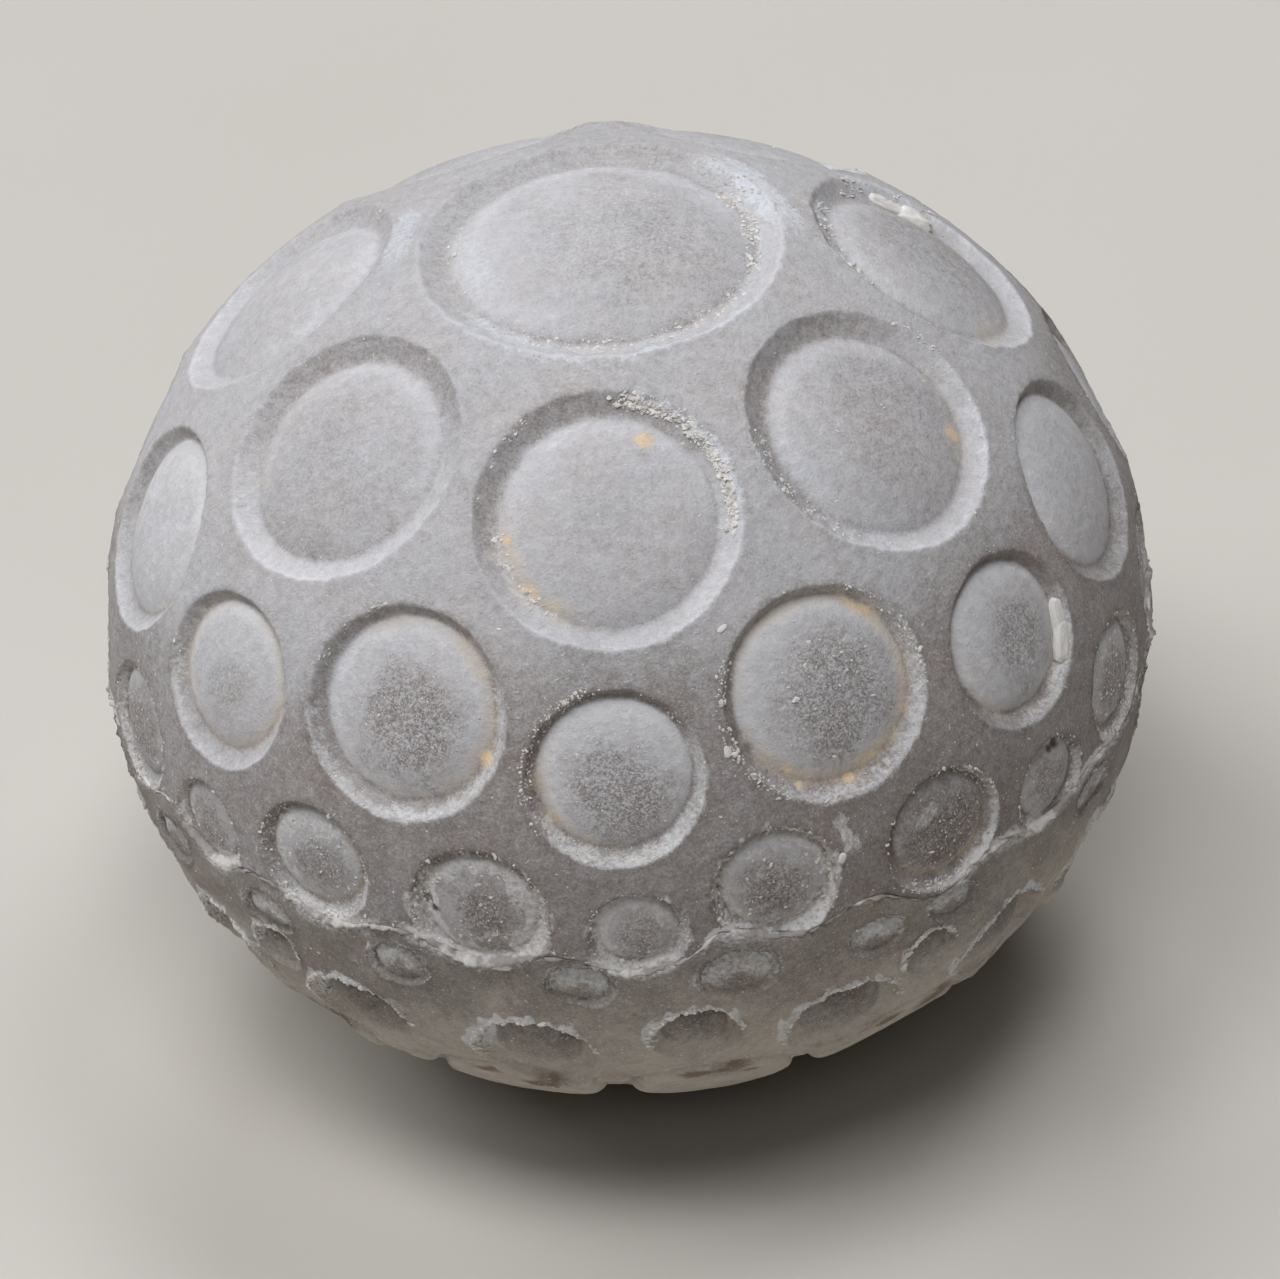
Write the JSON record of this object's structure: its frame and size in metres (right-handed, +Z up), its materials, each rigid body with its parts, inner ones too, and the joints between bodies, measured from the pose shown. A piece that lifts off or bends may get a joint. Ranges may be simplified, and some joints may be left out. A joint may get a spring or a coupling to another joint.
{
  "type": "cratered golf-style bounce ball",
  "caption": "Weathered grey rubber ball with round domed craters graded from large at the poles to small at the wavy parting line; layered core, mantle and cover.",
  "frame": {"origin": "on the plane the ball stands on, under the ball's centre: the middle of the worn ring at the bottom", "axes": "+Z up along the axis through the large polar craters, -Y towards the front of the crater pattern, +X to the right"},
  "size_m": [0.0448, 0.0448, 0.038],
  "materials": {
    "cover_upper": "chalky, dusted, matte grey",
    "cover_lower": "dusty, warm cream-grey, matte",
    "seam_cement": "pale dried cement with a ragged edge",
    "mantle": "smooth satin cream",
    "core": "ground dark grey with fine specks"
  },
  "bodies": {
    "root": {"cover_upper_half": "cover_upper", "cover_lower_half": "cover_lower", "seam_bond_ring": "seam_cement", "mantle_upper_half": "mantle", "mantle_lower_half": "mantle", "core": "core"}
  },
  "joints": []
}
